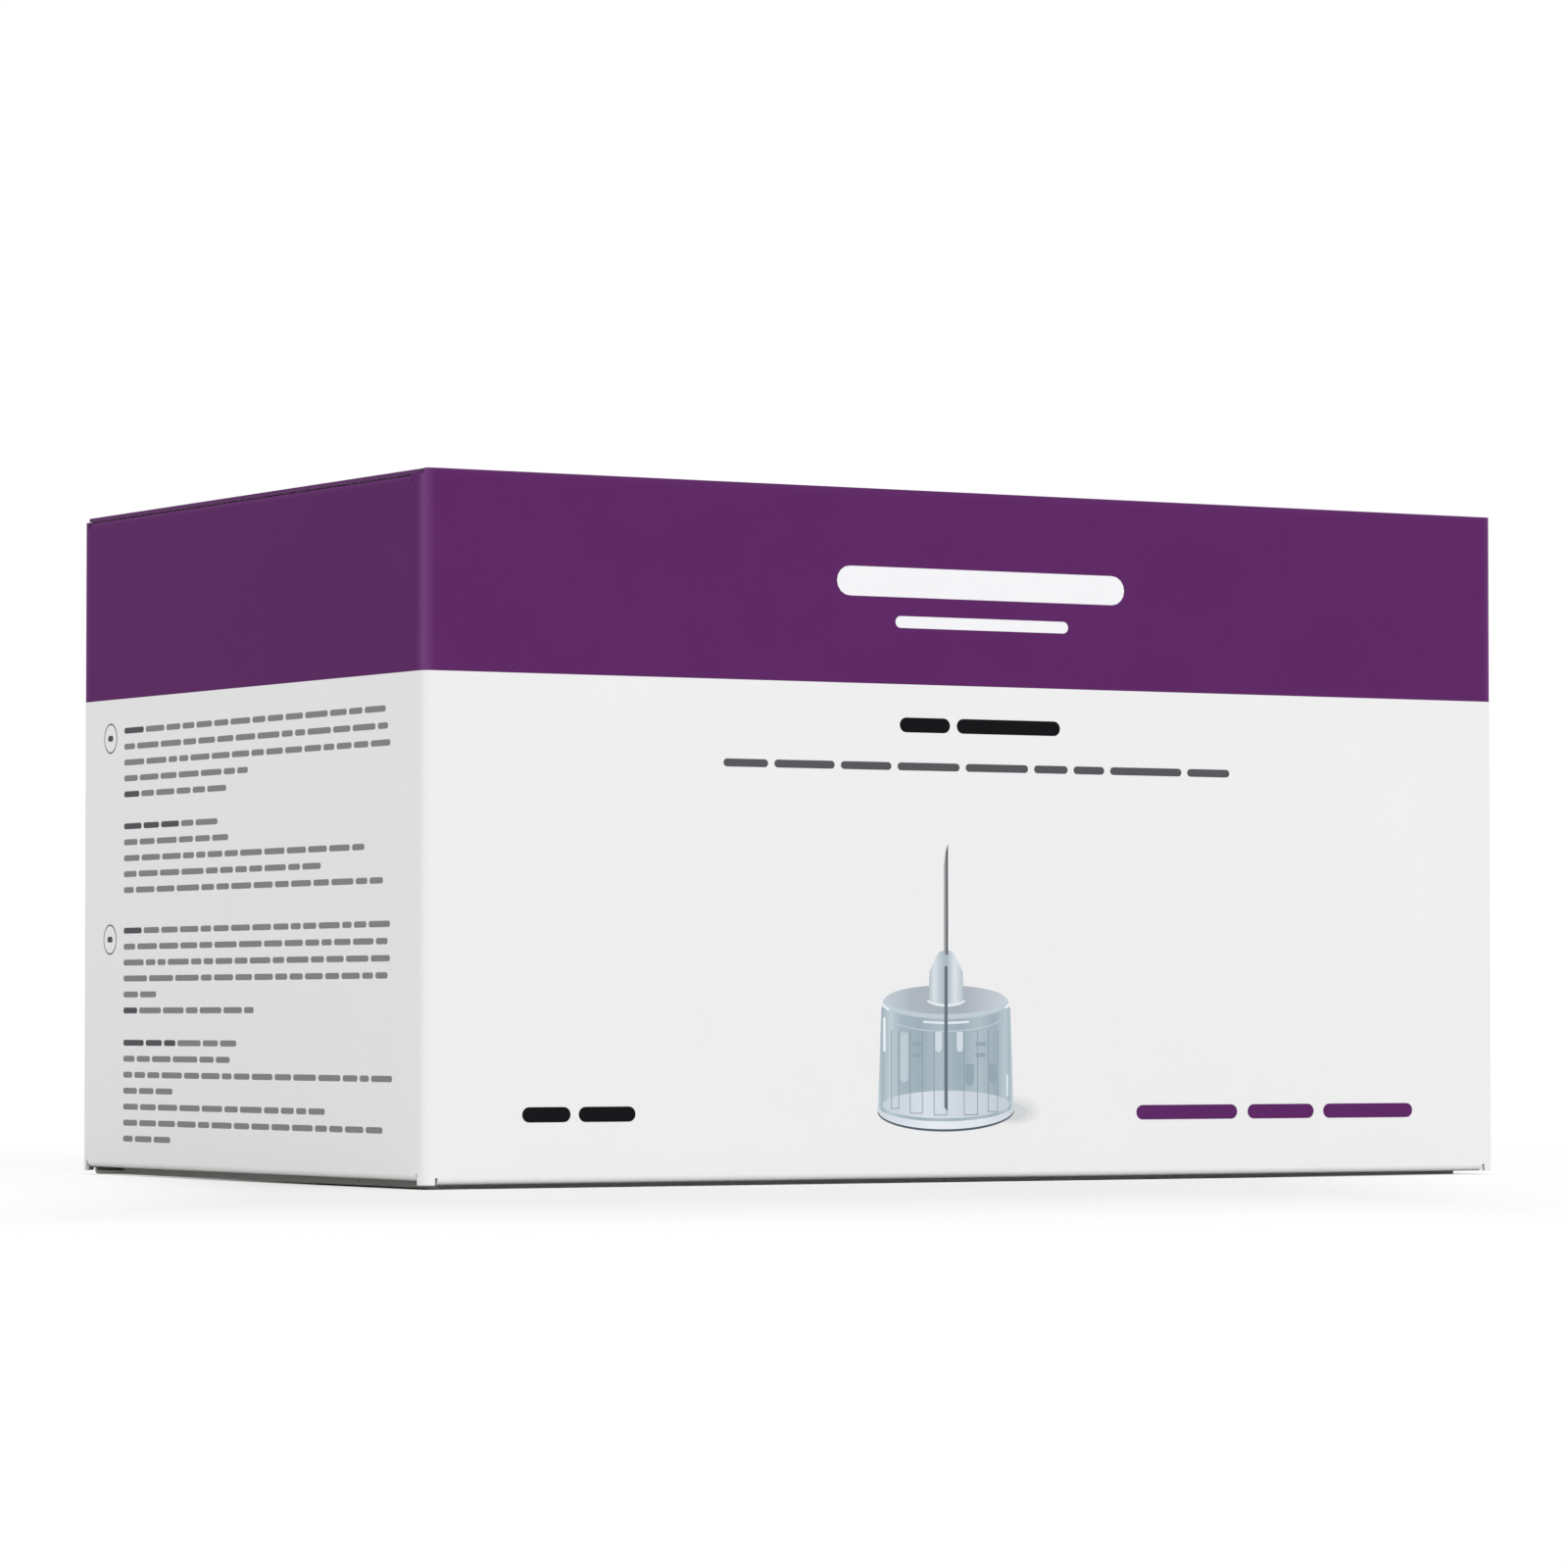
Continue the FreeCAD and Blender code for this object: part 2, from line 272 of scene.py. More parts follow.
def board_texture_group():
    """Coated board: slow print mottle, fine fibre under the coating, and a pale rub with a painted
    highlight along the folds.
    """
    n, given, result = new_group(
        "board_texture",
        [
            ("Color", "Color", (1, 1, 1, 1)),
            ("Worn Highlight Color", "Color", (1, 1, 1, 1)),
            ("Mottle", "Float", 0.03),
            ("Wear Highlight", "Float", 0.3),
            ("Roughness", "Float", 0.45),
        ],
        [("Color", "Color"), ("Roughness", "Float"), ("Height", "Float")],
    )
    place = n.place()
    mottle = n.noise(place, 140, 3)
    fibre = n.noise(n.stretched(place, (0.35, 1, 1)), 2600, 3, 0.6)
    pores = n.noise(place, 7000, 1)
    cloud = n.math("MULTIPLY_ADD", mottle, 2.0, -1.0)
    shift = n.math("MULTIPLY_ADD", cloud, given["Mottle"], 1.0)
    toned = n.add("ShaderNodeVectorMath", operation="SCALE")
    n.feed(toned, {0: given["Color"], "Scale": shift})
    # Painted highlight and rub along the folds
    wear_highlight = n.math("MULTIPLY", fold_wear_highlight_mask(n, place), given["Wear Highlight"])
    broken = n.math("MULTIPLY", wear_highlight, n.smooth(fibre, 0.3, 0.62))
    spread = n.math("ADD", n.math("MULTIPLY", wear_highlight, 0.8), n.math("MULTIPLY", broken, 0.2))
    n.link(n.mix(spread, toned.outputs[0], given["Worn Highlight Color"]), result.inputs["Color"])
    uneven = n.math("MULTIPLY_ADD", n.math("SUBTRACT", mottle, 0.5), 0.12, given["Roughness"])
    n.link(uneven, result.inputs["Roughness"])
    relief = n.math("MULTIPLY_ADD", pores, 0.35, fibre)
    n.link(relief, result.inputs["Height"])
    return n.tree


def fold_wear_highlight_mask(n, place):
    """Mask of the painted highlight and rub: 1 on the upright folds, fading over the panels beside
    them, and little on the level folds.
    """
    split = n.add("ShaderNodeSeparateXYZ")
    n.link(place, split.inputs[0])
    x = n.math("SUBTRACT", n.math("ABSOLUTE", split.outputs[0]), half_width)
    y = n.math("SUBTRACT", n.math("ABSOLUTE", split.outputs[1]), half_depth)
    from_middle = n.math("SUBTRACT", split.outputs[2], height / 2)
    z = n.math("SUBTRACT", n.math("ABSOLUTE", from_middle), height / 2)
    inward = n.math("MINIMUM", n.math("SUBTRACT", x, wear_highlight_lean), n.math("ADD", y, wear_highlight_lean))
    upright = n.math("POWER", n.ramp(inward, -wear_highlight_start, -wear_highlight_full), wear_highlight_falloff)
    across = n.math("MINIMUM", n.math("MAXIMUM", x, y), z)
    level = n.ramp(across, -fold_radius, -level_wear_highlight_full)
    return n.math("MAXIMUM", upright, n.math("MULTIPLY", level, level_wear_highlight))


def raw_board_group():
    """Uncoated board: pulp flecks, long fibres and a soft nap."""
    n, given, result = new_group(
        "raw_board",
        [("Color", "Color", (1, 1, 1, 1)), ("Fleck Color", "Color", (0.3, 0.26, 0.2, 1))],
        [("Color", "Color"), ("Roughness", "Float"), ("Height", "Float")],
    )
    place = n.place()
    cloud = n.noise(place, 220, 4)
    fibre = n.noise(n.stretched(place, (0.2, 1, 1)), 1500, 4, 0.65)
    flecks = n.smooth(n.noise(place, 900, 2), 0.68, 0.76)
    shade = n.math("ADD", n.math("MULTIPLY_ADD", cloud, 0.12, 0.88), n.math("MULTIPLY", fibre, 0.1))
    toned = n.add("ShaderNodeVectorMath", operation="SCALE")
    n.feed(toned, {0: given["Color"], "Scale": shade})
    few = n.math("MULTIPLY", flecks, 0.35)
    n.link(n.mix(few, toned.outputs[0], given["Fleck Color"]), result.inputs["Color"])
    n.link(n.math("MULTIPLY_ADD", cloud, 0.1, 0.78), result.inputs["Roughness"])
    n.link(fibre, result.inputs["Height"])
    return n.tree


def new_material(name):
    """A material with an empty Principled shader and its nodes."""
    material = bpy.data.materials.new(name)
    material.use_nodes = True
    n = Nodes(material.node_tree)
    return material, n, material.node_tree.nodes["Principled BSDF"]


def add_bump(n, shader, relief, strength, distance):
    bump = n.add("ShaderNodeBump")
    n.feed(bump, {"Strength": strength, "Distance": distance, "Height": relief})
    n.link(bump.outputs[0], shader.inputs["Normal"])


def varnish(n, shader, values):
    """Covers a shader with the coated board's texture under a matt varnish."""
    group = n.add("ShaderNodeGroup", node_tree=board_texture)
    n.feed(group, values)
    n.link(group.outputs["Color"], shader.inputs["Base Color"])
    n.link(group.outputs["Roughness"], shader.inputs["Roughness"])
    shader.inputs["Specular IOR Level"].default_value = varnish_gloss
    add_bump(n, shader, group.outputs["Height"], varnish_relief, 0.01 * MM)


def coated_board(name, colour, worn_highlight_colour, mottle, wear_highlight, roughness):
    """Printed or plain coated board."""
    material, n, shader = new_material(name)
    colours = {"Color": linear(colour), "Worn Highlight Color": linear(worn_highlight_colour)}
    varnish(n, shader, colours | {"Mottle": mottle, "Wear Highlight": wear_highlight, "Roughness": roughness})
    return material


def flat_ink(name, colour, mottle=0.04, roughness=ink_roughness):
    """One colour of coated board, with no rub or painted highlight."""
    return coated_board(name, colour, colour, mottle, 0, roughness)


def uncoated_board(name, colour, relief):
    """The board's inside or its cut edges."""
    material, n, shader = new_material(name)
    group = n.add("ShaderNodeGroup", node_tree=raw_board)
    n.feed(group, {"Color": linear(colour)})
    n.link(group.outputs["Color"], shader.inputs["Base Color"])
    n.link(group.outputs["Roughness"], shader.inputs["Roughness"])
    shader.inputs["Specular IOR Level"].default_value = 0.2
    add_bump(n, shader, group.outputs["Height"], relief, 0.02 * MM)
    return material


def print_gradient(name, stops, low, high):
    """Ink whose tone changes across the front, from low to high along X, by colour stops."""
    material, n, shader = new_material(name)
    split = n.add("ShaderNodeSeparateXYZ")
    n.link(n.place(), split.inputs[0])
    ramp = n.add("ShaderNodeValToRGB")
    n.link(n.ramp(split.outputs[0], low, high), ramp.inputs[0])
    elements = ramp.color_ramp.elements
    while len(elements) < len(stops):
        elements.new(0.5)
    for element, (position, colour) in zip(elements, stops):
        element.position = position
        element.color = linear(colour)
    values = {"Color": ramp.outputs[0], "Mottle": 0.02, "Wear Highlight": 0.0, "Roughness": print_roughness}
    varnish(n, shader, values)
    return material


def shield_plastic_material():
    """Moulded polypropylene: slightly milky, with a faint grain and uneven gloss."""
    material, n, shader = new_material("shield_plastic")
    place = n.place()
    grain = n.noise(place, 5000, 2)
    flow = n.noise(place, 180, 3)
    tone = n.mix(n.smooth(flow, 0.35, 0.7), linear(shield_white), linear(shield_blue))
    n.link(tone, shader.inputs["Base Color"])
    n.link(n.math("MULTIPLY_ADD", flow, 0.14, 0.2), shader.inputs["Roughness"])
    shader.inputs["Subsurface Weight"].default_value = 0.25
    shader.inputs["Subsurface Radius"].default_value = (1.2 * MM, 1.2 * MM, 1.3 * MM)
    shader.inputs["Subsurface Scale"].default_value = 1.0
    add_bump(n, shader, grain, 0.08, 0.02 * MM)
    return material


def tab_paper_material():
    """Sealed paper: a coloured disc and tongue on white, pressed down in a ring over the flange."""
    material, n, shader = new_material("tab_paper")
    own_place = n.add("ShaderNodeAttribute", attribute_name="tab_place").outputs["Vector"]
    split = n.add("ShaderNodeSeparateXYZ")
    n.link(own_place, split.inputs[0])
    flat = n.add("ShaderNodeCombineXYZ")
    n.feed(flat, {0: split.outputs[0], 1: split.outputs[1]})
    length = n.add("ShaderNodeVectorMath", operation="LENGTH")
    n.link(flat.outputs[0], length.inputs[0])
    radius = length.outputs["Value"]
    fibre = n.noise(n.place(), 3200, 4, 0.6)
    disc = n.math("LESS_THAN", radius, tab_disc)
    tongue = n.math("LESS_THAN", split.outputs[0], -flange_across / 2 - tab_tongue_ink)
    inked = n.math("MAXIMUM", disc, tongue)
    paper = n.mix(n.math("MULTIPLY", fibre, 0.3), linear(tab_white), linear(tab_fibre))
    n.link(n.mix(inked, paper, linear(tab_purple)), shader.inputs["Base Color"])
    n.link(n.math("MULTIPLY_ADD", fibre, 0.2, 0.5), shader.inputs["Roughness"])
    slope = tab_press_slope
    inner = n.smooth(radius, tab_press_inside - slope, tab_press_inside + slope)
    outer = n.smooth(radius, tab_press_outside - slope, tab_press_outside + slope)
    pressed = n.math("MULTIPLY", inner, n.math("SUBTRACT", 1.0, outer))
    relief = n.math("SUBTRACT", n.math("MULTIPLY", fibre, 0.25), pressed)
    add_bump(n, shader, relief, 0.8, 0.15 * MM)
    return material


def add_piece(name, mesh, materials):
    """Links a finished mesh at the origin, with its materials in order."""
    piece = bpy.data.objects.new(name, mesh)
    bpy.context.scene.collection.objects.link(piece)
    for material in materials:
        mesh.materials.append(material)
    return piece


def mesh_from(bm, name, smooth_angle=30):
    """A mesh whose faces shade smoothly across folds and stay sharp at cut edges."""
    for face in bm.faces:
        face.smooth = True
    for edge in bm.edges:
        edge.smooth = len(edge.link_faces) == 2 and edge.calc_face_angle() < math.radians(smooth_angle)
    mesh = bpy.data.meshes.new(name)
    bm.to_mesh(mesh)
    bm.free()
    if "custom_normal" in mesh.attributes:
        mesh.attributes.remove(mesh.attributes["custom_normal"])
    return mesh


def sheet_copy(node):
    """A node's mesh with its corners merged, to divide and colour."""
    bm = bmesh.new()
    bm.from_mesh(frame["nodes"][node].data)
    bmesh.ops.remove_doubles(bm, verts=bm.verts, dist=0.001 * MM)
    return bm


def score(bm, point, normal):
    """Divides every face that the plane crosses."""
    everything = bm.verts[:] + bm.edges[:] + bm.faces[:]
    bmesh.ops.bisect_plane(bm, geom=everything, dist=0.0001 * MM, plane_co=point, plane_no=normal)


def panels(bm):
    """The faces in groups, each group one surface without a sharp edge."""
    left = set(bm.faces)
    groups = []
    while left:
        group = [left.pop()]
        for face in group:
            for edge in face.edges:
                if len(edge.link_faces) != 2 or edge.calc_face_angle() > math.radians(30):
                    continue
                for other in edge.link_faces:
                    if other in left:
                        left.remove(other)
                        group.append(other)
        groups.append(group)
    return groups


OUTSIDE_WHITE, OUTSIDE_PURPLE, INSIDE, CUT_EDGE, CUT_EDGE_INK_SHADE = range(5)


def board_materials():
    """The board's materials in the order of the numbers above."""
    return [coated_field, band_ink, board_inside, cut_edge, cut_edge_inked]


def colour_sheet(bm, is_inked):
    """Gives each face its side of the board: printed, plain, inside or cut edge."""
    middle = Vector((0, 0, height / 2))
    for group in panels(bm):
        area = sum(face.calc_area() for face in group)
        for face in group:
            centre = face.calc_center_median()
            inked = is_inked(centre)
            if area < smallest_panel:
                face.material_index = CUT_EDGE_INK_SHADE if inked else CUT_EDGE
            elif face.normal.dot(centre - middle) < 0:
                face.material_index = INSIDE
            else:
                face.material_index = OUTSIDE_PURPLE if inked else OUTSIDE_WHITE


def clear_crease(bm, outward):
    """Leaves the board's ends in the lid's fold bare: the crease covers them until the lid opens."""
    for face in bm.faces:
        place = face.calc_center_median()
        at_fold = abs(place.y - hinge.y) < board and abs(place.z - hinge.z) < crease_reach
        between_corners = abs(place.x) < crease_half - crease_end
        if at_fold and between_corners and face.normal.dot(outward) < crease_facing:
            face.material_index = INSIDE


def carton_piece():
    """The folded blank, purple above the band's edge and just over the dust flaps' folds."""
    bm = sheet_copy("carton")
    score(bm, (0, 0, band_bottom), (0, 0, 1))
    for side in (-1, 1):
        score(bm, (side * (half_width - bleed), 0, 0), (1, 0, 0))

    def is_inked(place):
        on_flap = abs(place.x) < half_width - bleed and abs(place.y) < half_depth - board
        return place.z > band_bottom and not on_flap

    colour_sheet(bm, is_inked)
    clear_crease(bm, Vector((0, 1, 0)))
    piece = add_piece("carton_board", mesh_from(bm, "carton_board"), board_materials())
    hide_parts("carton")
    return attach(piece, "carton")


def lid_piece():
    """The lid and tuck flap, purple as far as the print runs down the tuck flap."""
    bm = sheet_copy("lid")
    print_end = height - tuck_flap_print
    score(bm, (0, 0, print_end), (0, 0, 1))
    for side in (-1, 1):
        score(bm, (side * crease_half, 0, 0), (1, 0, 0))
    colour_sheet(bm, lambda place: place.z > print_end)
    clear_crease(bm, Vector((0, 0, 1)))
    piece = add_piece("lid_board", mesh_from(bm, "lid_board"), board_materials())
    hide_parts("lid")
    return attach(piece, "lid")


def crease_line():
    """The crease's middle in Y and Z at each step, with its outward direction and share of the way."""
    straight = crease_reach - crease_radius
    bend = crease_radius * math.pi / 2
    length = 2 * straight + bend
    along_wall = [straight * i / crease_steps for i in range(crease_steps)]
    round_bend = [straight + bend * i / crease_turns for i in range(crease_turns + 1)]
    along_lid = [length - run for run in reversed(along_wall)]
    line = []
    for run in along_wall + round_bend + along_lid:
        share = run / length
        turn = min(max((run - straight) / crease_radius, 0), math.pi / 2)
        before = min(run, straight)
        after = max(run - length + straight, 0)
        y = hinge.y - crease_radius * (1 - math.cos(turn)) - after
        z = hinge.z - crease_reach + before + crease_radius * math.sin(turn)
        line.append((y, z, math.cos(turn), math.sin(turn), share))
    return line


def lid_crease_piece():
    """The fold between back wall and lid: a fixed strip of board, bent round as it is when the lid is
    shut.

    It starts and ends just under the board's faces and swells just over them.
    """
    bm = bmesh.new()
    stations = []
    for y, z, out_y, out_z, share in crease_line():
        swell = math.sin(math.pi * share) ** 0.5 * 2 * crease_bulge - crease_bulge
        reach = board / 2 + swell
        outer = (y + out_y * reach, z + out_z * reach)
        inner = (y - out_y * reach, z - out_z * reach)
        ends = [(x, p) for x in (-crease_half, crease_half) for p in (outer, inner)]
        stations.append([bm.verts.new((x, *p)) for x, p in ends])
    for a, b in zip(stations, stations[1:]):
        bm.faces.new((a[0], a[2], b[2], b[0])).material_index = OUTSIDE_PURPLE
        bm.faces.new((a[1], b[1], b[3], a[3])).material_index = INSIDE
        bm.faces.new((a[0], b[0], b[1], a[1])).material_index = CUT_EDGE_INK_SHADE
        bm.faces.new((a[2], a[3], b[3], b[2])).material_index = CUT_EDGE_INK_SHADE
    for s in (stations[0], stations[-1]):
        bm.faces.new((s[0], s[1], s[3], s[2])).material_index = CUT_EDGE
    bmesh.ops.recalc_face_normals(bm, faces=bm.faces)
    piece = add_piece("lid_crease", mesh_from(bm, "lid_crease", 50), board_materials())
    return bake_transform(piece)


def bar(u, v, width, tall):
    """A round-ended bar's outline in millimetres, with its left end at u and its middle at height v."""
    radius = tall / 2
    outline = []
    corners = [(u + width, v - radius), (u + width, v + radius), (u, v + radius), (u, v - radius)]
    for i, (x, y) in enumerate(corners):
        centre_x = x - radius if i < 2 else x + radius
        centre_y = y + radius if i in (0, 3) else y - radius
        for step in range(5):
            angle = math.radians(-90 + 90 * i + 22.5 * step)
            outline.append((centre_x + radius * math.cos(angle), centre_y + radius * math.sin(angle)))
    return outline


def ellipse(u, v, half_u, half_v, start=0, end=360, steps=48):
    """Part or all of an ellipse's outline, turning left from the start angle to the end angle."""
    whole = end - start == 360
    count = steps if whole else steps + 1
    angles = [math.radians(start + (end - start) * i / steps) for i in range(count)]
    return [(u + half_u * math.cos(a), v + half_v * math.sin(a)) for a in angles]


def word_line(u, v, width, tall, words, seed, gap):
    """A line of word-long bars that fills the width."""
    rng = random.Random(seed)
    shares = [rng.uniform(0.6, 1.6) for _ in range(words)]
    space = gap * tall
    room = width - space * (words - 1)
    bars = []
    for share in shares:
        length = room * share / sum(shares)
        bars.append(bar(u, v, length, tall))
        u += length + space
    return bars


def on_front(u, v, out):
    """A point u right of the front's middle and v up, in millimetres, and so far out in metres."""
    return (u * MM, -half_depth - out, v * MM)


def on_picture(u, v, out):
    """The same, from the middle of the needle picture's foot."""
    return on_front(picture_middle + u, picture_foot + v, out)


def on_left(u, v, out):
    """The same on the left side, as seen from there."""
    return (-half_width - out, -u * MM, v * MM)


def print_piece(name, place, shapes, materials):
    """Ink as thin closed plates let into the board: each shape is (outline, material number, layer)."""
    bm = bmesh.new()
    for outline, number, layer in shapes:
        proud = ink_height + layer_step * layer
        top = [bm.verts.new(place(u, v, proud)) for u, v in outline]
        under = [bm.verts.new(place(u, v, -ink_depth)) for u, v in outline]
        made = [bm.faces.new(top), bm.faces.new(under[::-1])]
        for i in range(len(outline)):
            made.append(bm.faces.new((top[i - 1], under[i - 1], under[i], top[i])))
        for face in made:
            face.material_index = number
    bmesh.ops.recalc_face_normals(bm, faces=bm.faces)
    mesh = bpy.data.meshes.new(name)
    bm.to_mesh(mesh)
    bm.free()
    piece = add_piece(name, mesh, materials)
    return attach(piece, "carton")


def one_ink(name, place, outlines, material):
    """A printed piece of one ink, with outlines that don't overlap."""
    return print_piece(name, place, [(outline, 0, 0) for outline in outlines], [material])


def front_print():
    """Plain bars in place of words on the front."""
    title = [bar(-17.5, 60.6, 34.6, 3.0), bar(-10.6, 56.6, 20.8, 1.2)]
    one_ink("front_title_bars", on_front, title, white_ink)
    heading = [bar(-10.1, 46.2, 6.0, 1.5), bar(-3.3, 46.2, 12.5, 1.5)]
    one_ink("front_heading_bars", on_front, heading, black_ink)
    strapline = word_line(-30.7, 42.0, 60.9, 0.8, words=9, seed=3, gap=0.9)
    one_ink("front_strapline_bars", on_front, strapline, grey_ink)
    count = [bar(-53.4, 7.15, 5.4, 1.5), bar(-47.1, 7.15, 6.4, 1.5)]
    one_ink("front_count_bars", on_front, count, black_ink)
    size = [bar(18.5, 6.9, 12.6, 1.5), bar(32.4, 6.9, 8.4, 1.5), bar(42.0, 6.9, 11.5, 1.5)]
    one_ink("front_size_bars", on_front, size, purple_ink)


def note_blocks():
    """Each block's height and its lines, as (length, bold words), in millimetres."""
    return [
        (46.9, [(60, 1), (60.5, 0), (61, 0), (29.5, 0), (24.5, 1)]),
        (36.8, [(22.5, 3), (25, 0), (55.5, 0), (46, 0), (59.5, 0)]),
        (25.8, [(61, 1), (60.5, 0), (61, 0), (60.5, 0), (8, 0), (31, 1)]),
        (14.0, [(27, 3), (25.5, 0), (61.5, 0), (12, 0), (47, 0), (59.5, 0), (11.5, 0)]),
    ]


def left_print():
    """Lines of small bars in place of the notes on the left side, with two ringed marks."""
    bold = []
    plain = []
    for number, (top, lines) in enumerate(note_blocks()):
        for line, (length, bold_words) in enumerate(lines):
            words = max(round(length / note_word), bold_words)
            v = top - note_pitch * line
            bars = word_line(note_left, v, length, note_tall, words, 10 * number + line, note_space)
            bold += bars[:bold_words]
            plain += bars[bold_words:]
    one_ink("left_note_lines", on_left, plain, note_ink)
    one_ink("left_note_openings", on_left, bold, grey_ink)
    shapes = []
    for v in mark_heights:
        shapes.append((ellipse(mark_middle, v, mark_radius, mark_radius), 0, 0))
        inner = mark_radius - mark_line
        shapes.append((ellipse(mark_middle, v, inner, inner), 1, 1))
        shapes.append((bar(mark_middle - mark_word / 2, v, mark_word, note_tall), 0, 2))
    print_piece("left_note_marks", on_left, shapes, [grey_ink, coated_field])


def band(u, v, half_u, half_v, thickness, start=0, end=360):
    """A ring, or part of one, that follows an ellipse and is as thick all along."""
    outside = ellipse(u, v, half_u, half_v, start, end)
    inside = ellipse(u, v, half_u - thickness, half_v - thickness, start, end)
    return outside + inside[::-1]


def post(u, low, high, width):
    """An upright rectangle whose left side is at u."""
    return [(u, low), (u + width, low), (u + width, high), (u, high)]


def frame_lines(u, low, high, width, line):
    """The two sides and the foot of an outlined rectangle."""
    near = post(u, low, high, line)
    far = post(u + width - line, low, high, line)
    return [near, far, post(u, low, low + line, width)]


def picture_inks():
    """The pictured needle's inks by name, in a fixed order."""
    flat = {
        "shade_1": (233, 233, 233), "shade_2": (227, 227, 228), "shade_3": (219, 220, 221),
        "shade_4": (208, 210, 212), "outline": (84, 92, 102), "line": (140, 156, 166),
        "core": (104, 116, 126), "rim": (192, 204, 212), "glint": (230, 237, 241),
        "slot": (208, 219, 226), "dark_slot": (150, 167, 177),
    }
    half = picture_half * MM
    graded = {
        "side": (-half, half, [
            (0.0, (200, 212, 218)), (0.03, (164, 181, 190)), (0.09, (190, 204, 211)),
            (0.17, (165, 182, 191)), (0.3, (158, 175, 185)), (0.45, (172, 187, 196)),
            (0.6, (158, 175, 185)), (0.74, (176, 191, 199)), (0.86, (158, 175, 185)),
            (0.94, (184, 198, 206)), (0.97, (166, 183, 192)), (1.0, (208, 218, 223)),
        ]),
        "top": (-half, half, [
            (0.0, (200, 209, 216)), (0.25, (174, 182, 191)), (0.6, (168, 175, 185)),
            (1.0, (204, 212, 218)),
        ]),
        "foot": (-half, half, [
            (0.0, (196, 206, 215)), (0.35, (214, 222, 230)), (0.6, (206, 215, 223)),
            (1.0, (196, 205, 213)),
        ]),
        "lip": (-half, half, [
            (0.0, (206, 214, 222)), (0.4, (232, 236, 243)), (0.75, (226, 231, 238)),
            (1.0, (204, 211, 219)),
        ]),
        "nozzle": (-2.1 * MM, 2.1 * MM, [
            (0.0, (176, 189, 196)), (0.15, (214, 223, 228)), (0.35, (186, 198, 205)),
            (0.5, (168, 182, 190)), (0.75, (218, 226, 231)), (0.9, (196, 207, 213)),
            (1.0, (172, 185, 193)),
        ]),
        "needle": (-0.26 * MM, 0.22 * MM, [
            (0.0, (178, 180, 183)), (0.35, (150, 152, 156)), (0.7, (98, 100, 105)),
            (1.0, (82, 84, 89)),
        ]),
    }
    inks = {}
    for key, colour in flat.items():
        mottle = 0.01 if key.startswith("shade") else 0.02
        inks[key] = flat_ink("picture_" + key, colour, mottle, print_roughness)
    middle = picture_middle * MM
    for key, (low, high, stops) in graded.items():
        inks[key] = print_gradient("picture_" + key, stops, middle + low, middle + high)
    return inks


def upright_slot(u, low, high, width):
    """A tall outline with a round foot, its left side at u."""
    half = width / 2
    foot = ellipse(u + half, low + half, half, half, 180, 360, 12)
    return foot + [(u + width, high), (u, high)]


def cast_shade(half):
    """Layers of grey that darken towards the hub's foot, to its right."""
    return [
        [(ellipse(half + 0.3, 2.2, 3.1, 1.6), "shade_1")],
        [(ellipse(half + 0.2, 2.15, 2.7, 1.35), "shade_2")],
        [(ellipse(half + 0.05, 2.1, 2.3, 1.1), "shade_3")],
        [(ellipse(half - 0.1, 2.05, 1.8, 0.85), "shade_4")],
    ]


def hub_walls(half):
    """Layers of the clear hub: its dark foot line, side, lip, floor, top and rims."""
    base = 2.3
    floor_rise = 2.75
    edge = 12.45
    top = 13.3
    front = ellipse(0, base, half, 1.95, 180, 360)
    return [
        [(ellipse(0, base - 0.12, half + 0.04, 2.06, 180, 360), "outline")],
        [(front + ellipse(0, edge, half - 0.4, 1.7, 0, 180), "side")],
        [(front + ellipse(0, floor_rise, half, 1.6, 360, 180), "lip")],
        [
            (ellipse(0, floor_rise + 0.1, half - 0.5, 1.4), "foot"),
            (ellipse(0, top - 0.1, half - 0.6, 1.7), "rim"),
        ],
        [
            (ellipse(0, top + 0.15, half - 0.85, 1.45), "top"),
            (band(0, 12.0, half - 1.0, 1.8, 0.12, 200, 340), "rim"),
        ],
        [
            (band(0, top - 0.55, half - 0.7, 1.75, 0.22, 248, 292), "glint"),
            (band(0, top - 0.2, half - 0.45, 1.75, 0.34, 184, 205), "glint"),
            (band(0, top - 0.2, half - 0.45, 1.75, 0.34, 342, 358), "glint"),
        ],
    ]


def hub_details():
    """Layers of the ribs, slots, marks and glints that show through the hub's side."""
    rib_top = 10.35
    rib_line = 0.09
    rib_places = [
        (-6.55, 2.45, 0.95), (-4.35, 1.95, 1.55), (-1.5, 1.75, 1.6), (2.1, 1.75, 1.7), (5, 2.05, 1.2),
    ]
    ribs = []
    feet = []
    for left, low, width in rib_places:
        near, far, bottom = frame_lines(left, low, rib_top, width, rib_line)
        ribs += [(near, "line"), (far, "line")]
        feet.append((bottom, "line"))
    slots = [
        (upright_slot(-1.32, 8.15, 10.2, 0.8), "slot"),
        (upright_slot(1.25, 8.15, 10.2, 0.75), "slot"),
        (upright_slot(2.35, 4.75, 6.95, 0.95), "dark_slot"),
        (upright_slot(5.15, 4.95, 6.95, 0.85), "dark_slot"),
        (upright_slot(-5.45, 5.15, 10.15, 0.9), "rim"),
    ]
    marks = [(bar(x, v, 1.25, 0.42), "dark_slot") for x in (-4.0, 3.5) for v in (8.95, 7.85)]
    glints = [(post(-7.5, 8.25, 11.65, 0.3), "glint"), (post(7.25, 3.65, 5.85, 0.16), "glint")]
    return [ribs, feet, slots, marks + glints]


